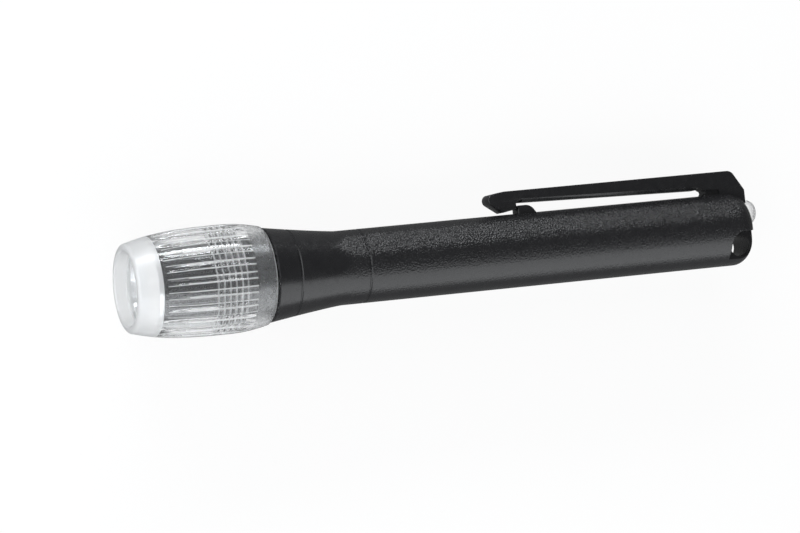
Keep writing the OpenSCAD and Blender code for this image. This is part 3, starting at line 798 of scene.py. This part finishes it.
def cut_flutes(bm):
    """Presses the flutes into the outer surface of the turned bezel."""
    for vert in bm.verts:
        along, radius, angle = around_pen(vert.co)
        share = flute_share(angle)
        if radius > BORE_R + EDGE and share < 1:
            press = flute_depth(along) * (1 - share ** 2)
            vert.co -= (vert.co - at(along)).normalized() * press * MM


def cut_bore_thread(bm):
    """Presses a helical thread into the bore of the turned bezel."""
    run_in = 0.5
    for vert in bm.verts:
        along, radius, angle = around_pen(vert.co)
        if BORE_THREAD_Z < along < BORE_THREAD_END_Z and radius < ON_BORE_R:
            depth = BORE_THREAD_H * min(along - BORE_THREAD_Z, BORE_THREAD_END_Z - along, run_in) / run_in
            vert.co += (vert.co - at(along)).normalized() * depth * thread_share(along, angle) * MM


def is_milky_or_painted_glint(along, radius, angle):
    """Tells the bezel's milky places (its front around the window and its rear edge) and its painted
    highlights: white strips on the thread's crest and the flute edges that stand in for glints.
    """
    if along < MILKY_END_Z:
        return radius > MOUTH_R
    if radius < ON_BORE_R:
        # The thread's crest gets the milky finish as a painted highlight in place of glints of light.
        in_thread = BORE_THREAD_Z < along < BORE_THREAD_END_Z
        return in_thread and thread_share(along, angle) < BORE_THREAD_CREST
    # Thin milky strips on the flute edges are painted highlights in place of glints of light.
    step = 2 / GROOVE_STEPS
    inner = 1 if along < GLINT_FULL_Z else 1 - step
    glint_strip_on_flute_edge = inner < flute_share(angle) < 1 + step
    return along > BEZEL_LEN - EDGE or (GLINT_Z < along < FLUTE_REAR_Z and glint_strip_on_flute_edge)


def clear_bezel(material, milky_and_glint):
    """Clear bezel with its window in one piece, milky at the front, with painted highlights as white
    strips on the flute edges and thread crest.
    """
    bm = turned(bezel_outline(), FLUTES * STEPS_PER_FLUTE)
    for face in bm.faces:
        # Slot 1 takes the milky front and the painted glint strips.
        face.material_index = int(is_milky_or_painted_glint(*around_pen(face.calc_center_median())))
    cut_flutes(bm)
    cut_bore_thread(bm)
    bezel = made("clear_bezel", bm, material, BEZEL_SHARP_ANGLE)
    bezel.data.materials.append(milky_and_glint)
    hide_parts("lens_bezel")
    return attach(bezel, "bezel")


def bowl(radius, wall):
    """Point of the reflector's parabola, pushed out by a wall."""
    slope = radius / (2 * FOCUS_LEN)
    norm = math.sqrt(1 + slope ** 2)
    along = FOCUS_Z + FOCUS_LEN - radius ** 2 / (4 * FOCUS_LEN)
    return (along + wall / norm, radius + wall * slope / norm)


def reflector_bowl(material):
    """Reflector with its flange and collar."""
    steps = 40
    skirt_r = MOUTH_R - 0.9
    join_r = COLLAR_R - REFLECTOR_T
    inside = [bowl(MOUTH_R + (LAMP_HOLE_R - MOUTH_R) * i / steps, 0) for i in range(steps + 1)]
    outside = [bowl(join_r + (skirt_r - join_r) * i / steps, REFLECTOR_T) for i in range(steps + 1)]
    collar = [(COLLAR_Z, LAMP_HOLE_R), (COLLAR_Z, COLLAR_BORE_R), (COLLAR_END_Z, COLLAR_BORE_R),
              (COLLAR_END_Z, COLLAR_R), (outside[0][0], COLLAR_R)]
    flange_back = FLANGE_Z + FLANGE_T
    flange = [(flange_back, outside[-1][1]), (flange_back, FLANGE_R), (FLANGE_Z, FLANGE_R), inside[0]]
    mirror = made("reflector_bowl", turned(inside + collar + outside + flange, ROUND_STEPS), material)
    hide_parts("reflector")
    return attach(mirror, "lamp_train")


def dome_button(material):
    """Silicone button with a domed end."""
    dome = [(PEN_LEN - BUTTON_DOME + BUTTON_DOME * math.sin(a),
             BUTTON_FLAT_R + (BUTTON_R - BUTTON_FLAT_R) * math.cos(a))
            for a in [math.radians(90 * i / 16) for i in range(17)]]
    socket_end = BUTTON_Z + BUTTON_SOCKET_DEPTH
    socket = [(socket_end, 0.0), (socket_end, BUTTON_SOCKET_R), (BUTTON_Z, BUTTON_SOCKET_R),
              (BUTTON_Z, BUTTON_R)]
    outline = socket + dome + [(PEN_LEN, 0.0)]
    button = made("dome_button", turned(outline, SMALL_STEPS, BUTTON_OFF), material, BUTTON_SHARP_ANGLE)
    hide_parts("tail_button")
    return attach(button, "button")


# Springs


def coil_spring(node, wire, front_r, rear_r, turns, material):
    """Wound wire from the front to the rear end of a spring's CAD node, and its two ends."""
    low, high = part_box(node)
    front = (low.x - FRONT_X) / MM + wire / 2
    rear = (high.x - FRONT_X) / MM - wire / 2
    steps = round(turns * STEPS_PER_COIL)
    bm = bmesh.new()
    bmesh.ops.create_circle(bm, cap_ends=True, segments=WIRE_SIDES, radius=wire / 2 * MM,
                            matrix=Matrix.Translation(at(front, front_r)))
    bmesh.ops.spin(bm, geom=[*bm.faces, *bm.edges, *bm.verts], cent=at(0), axis=(1, 0, 0),
                   dvec=((rear - front) * MM / steps, 0, 0), angle=2 * math.pi * turns, steps=steps)
    for vert in bm.verts:
        along = around_pen(vert.co)[0]
        widening = (rear_r - front_r) * (along - front) / (rear - front)
        vert.co += (vert.co - at(along)).normalized() * widening * MM
    close_up(bm)
    spring = made(node + "_coil", bm, material)
    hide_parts(node)
    return spring, at(front), at(rear)


def cell_spring(material):
    """Spring behind the cells."""
    spring, front, rear = coil_spring("cell_spring", CELL_WIRE, CELL_SPRING_TIP_R, CELL_SPRING_BASE_R,
                                      CELL_SPRING_TURNS, material)
    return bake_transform(spring)


def return_spring(material):
    """Return spring of the button."""
    spring, front, rear = coil_spring("return_spring", RETURN_WIRE, RETURN_SPRING_R, RETURN_SPRING_R,
                                      RETURN_SPRING_TURNS, material)
    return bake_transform(spring)


# Studio


def floor():
    """Floor that is dark to the light on the pen, shows white to the camera and keeps a soft shadow."""
    bm = bmesh.new()
    bmesh.ops.create_grid(bm, x_segments=1, y_segments=1, size=3)
    drop = 0.02 * MM
    bmesh.ops.translate(bm, verts=bm.verts, vec=(0, 0, -drop))
    finish = Finish("floor", Roughness=0.9)
    nodes, links = finish.nodes, finish.links
    path = nodes.new("ShaderNodeLightPath")
    finish.colours(path.outputs["Is Camera Ray"], (0.12, 0.12, 0.12), (0.85, 0.85, 0.85))
    share = None
    shown_white = {"Is Camera Ray": 0.9, "Is Transmission Ray": 0.96, "Is Glossy Ray": 0.1}
    for ray, amount in shown_white.items():
        part = finish.ranged(path.outputs[ray], 0, 1, 0, amount)
        share = part if share is None else finish.larger(share, part)
    white = nodes.new("ShaderNodeEmission")
    white.inputs["Color"].default_value = (1, 1, 1, 1)
    mix = nodes.new("ShaderNodeMixShader")
    links.new(share, mix.inputs["Fac"])
    links.new(finish.shader.outputs["BSDF"], mix.inputs[1])
    links.new(white.outputs["Emission"], mix.inputs[2])
    links.new(mix.outputs["Shader"], nodes["Material Output"].inputs["Surface"])
    made("floor", bm, finish.material)


def world():
    """Even grey surroundings that show white behind the object."""
    sky = bpy.data.worlds.new("studio")
    sky.use_nodes = True
    nodes, links = sky.node_tree.nodes, sky.node_tree.links
    path = nodes.new("ShaderNodeLightPath")
    level = nodes.new("ShaderNodeMapRange")
    level.inputs["To Min"].default_value = WORLD_LEVEL
    level.inputs["To Max"].default_value = 1.0
    links.new(path.outputs["Is Camera Ray"], level.inputs["Value"])
    nodes["Background"].inputs["Color"].default_value = (1, 1, 1, 1)
    links.new(level.outputs["Result"], nodes["Background"].inputs["Strength"])
    bpy.context.scene.world = sky


def lamp(name, place, size_x, size_y, power):
    """Soft rectangular lamp that faces the middle of the pen."""
    data = bpy.data.lights.new(name, "AREA")
    data.shape = "RECTANGLE"
    data.size = size_x
    data.size_y = size_y
    data.energy = power
    data.color = LAMP_COLOUR
    light = bpy.data.objects.new(name, data)
    light.location = place
    light.rotation_mode = "QUATERNION"
    light.rotation_quaternion = (Vector((0, 0, AXIS_Z)) - Vector(place)).to_track_quat("-Z", "Y")
    bpy.context.scene.collection.objects.link(light)


def camera():
    """Camera at the photograph's view, nearly overhead with a long lens."""
    focal_px = 4000
    image_w = 800
    swing = math.radians(20.43)
    lean = math.radians(-1.49)
    roll = math.radians(5.64)
    back = Vector((-math.sin(swing) * math.cos(lean), math.sin(lean), math.cos(swing) * math.cos(lean)))
    level = (Vector((1, 0, 0)) - back * back.x).normalized()
    rise = back.cross(level)
    right = level * math.cos(roll) - rise * math.sin(roll)
    up = rise * math.cos(roll) + level * math.sin(roll)
    place = at(0) + Vector((-0.2241, -0.0219, 0.75725))
    data = bpy.data.cameras.new("camera")
    data.sensor_fit = "HORIZONTAL"
    data.sensor_width = 36
    data.lens = focal_px / image_w * data.sensor_width
    view = bpy.data.objects.new("camera", data)
    turn = Matrix((right, up, back)).transposed().to_4x4()
    view.matrix_world = Matrix.Translation(place) @ turn
    bpy.context.scene.collection.objects.link(view)
    bpy.context.scene.camera = view


grain = grained_plastic()
smooth_black = clip_plastic()
barrel_shell(grain)
neck_thread(thread_plastic())
retention_bump(smooth_black)
pocket_clip(smooth_black)
# The milky finish also carries the bezel's painted glint strips.
clear_bezel(clear_plastic(), milky_and_glint_plastic())
reflector_bowl(mirror_metal())
dome_button(soft_button())

inner_black = moulded("inner_plastic", (0.02, 0.02, 0.022), (0.035, 0.035, 0.037), 0.45)
brass = drawn_metal("contact_brass", (0.6, 0.45, 0.2), (0.78, 0.62, 0.3), 0.3)
steel = drawn_metal("cell_steel", (0.6, 0.61, 0.63), (0.74, 0.75, 0.77), 0.28)
spring_steel = drawn_metal("spring_steel", (0.5, 0.5, 0.52), (0.7, 0.7, 0.72), 0.3)
cell_spring(spring_steel)
return_spring(spring_steel)
jacket = moulded("cell_jacket", (0.09, 0.19, 0.31), (0.12, 0.25, 0.4), 0.3)
inner_finishes = {
    "seal_ring": seal_rubber(),
    "led_emitter": moulded("emitter", (0.8, 0.72, 0.4), (0.93, 0.86, 0.55), 0.25),
    "lamp_board": moulded("board", (0.03, 0.16, 0.08), (0.05, 0.24, 0.12), 0.35),
    "boost_coil": moulded("coil", (0.08, 0.08, 0.085), (0.13, 0.13, 0.14), 0.5),
    "lamp_holder": inner_black,
    "switch_housing": inner_black,
    "centre_contact": brass,
    "side_contact": brass,
    "contact_strip": brass,
    "tail_terminal": brass,
    "contact_ring": brass,
    "contact_bridge": brass,
    "front_cell": steel,
    "rear_cell": steel,
    "front_jacket": jacket,
    "rear_jacket": jacket,
    "switch_plunger": moulded("white_plastic", (0.72, 0.72, 0.7), (0.8, 0.8, 0.78), 0.4),
}
for node, finish in inner_finishes.items():
    slots = frame["nodes"][node].data.materials
    slots.clear()
    slots.append(finish)

floor()
world()
lamp("softbox_clip_side", (-0.09, 0.57, 0.24), 0.6, 0.12, 3.6)
lamp("softbox_near_side", (0.0, -0.6, 0.36), 1.6, 0.8, 8.0)
lamp("softbox_front", (-0.6, 0.0, 0.35), 1.0, 0.8, 5.0)
camera()
bpy.context.scene.view_settings.view_transform = "Standard"
